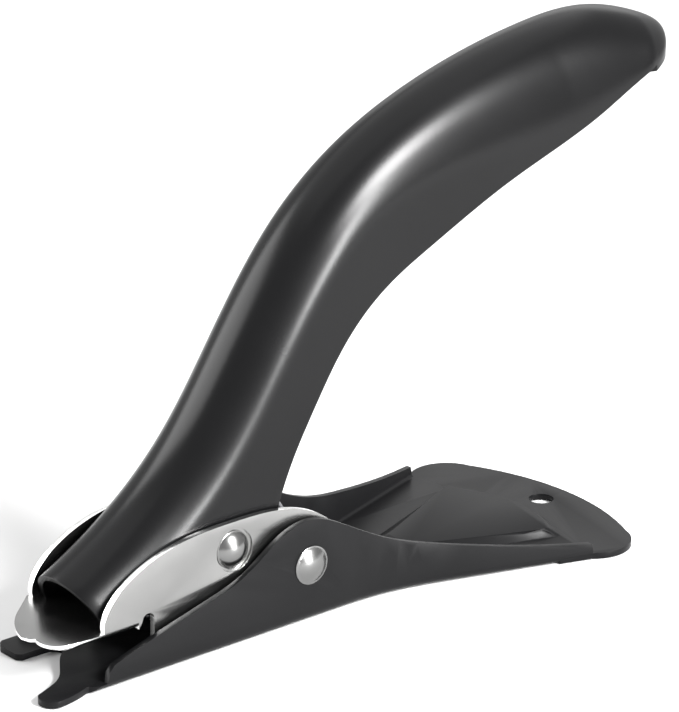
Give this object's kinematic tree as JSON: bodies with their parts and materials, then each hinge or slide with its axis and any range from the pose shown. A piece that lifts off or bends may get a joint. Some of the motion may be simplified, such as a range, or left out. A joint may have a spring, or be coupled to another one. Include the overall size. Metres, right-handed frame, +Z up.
{
  "type": "staple remover",
  "caption": "Heavy-duty lever staple remover: folded steel base with palm plate and forked toes, plated lifting jaw and a long arched squeeze handle on a sprung pivot.",
  "frame": {"origin": "middle of the bounding box in X and Y, on the underside of the base in Z", "axes": "+X runs back from the jaw to the palm plate, +Y across the tool, +Z up from the table"},
  "size_m": [0.1591, 0.0568, 0.1005],
  "materials": {
    "base_paint": "satin black stoved enamel",
    "handle_paint": "semi-gloss black stoved enamel",
    "jaw_plate": "bright nickel plate",
    "rivet_steel": "nickel-plated, softly polished",
    "zinc_steel": "zinc-plated",
    "spring_steel": "drawn wire"
  },
  "bodies": {
    "base": {"base_frame": "base_paint", "pivot_rivet": "rivet_steel", "pivot_sleeve": "zinc_steel", "pivot_washer_near": "zinc_steel", "pivot_washer_far": "zinc_steel", "torsion_spring": "spring_steel"},
    "lever": {"handle_lever": "handle_paint", "lifting_jaw": "jaw_plate", "jaw_rivet": "rivet_steel"}
  },
  "joints": [
    {"name": "squeeze", "type": "hinge", "parent": "base", "child": "lever", "pos_m": [-0.0207, 0, 0.0111], "axis": [0, 1, 0], "range_deg": [0, 26], "stiffness_Nm_per_rad": 1.2, "springref_deg": -28.65, "deforming": ["torsion_spring"]}
  ]
}
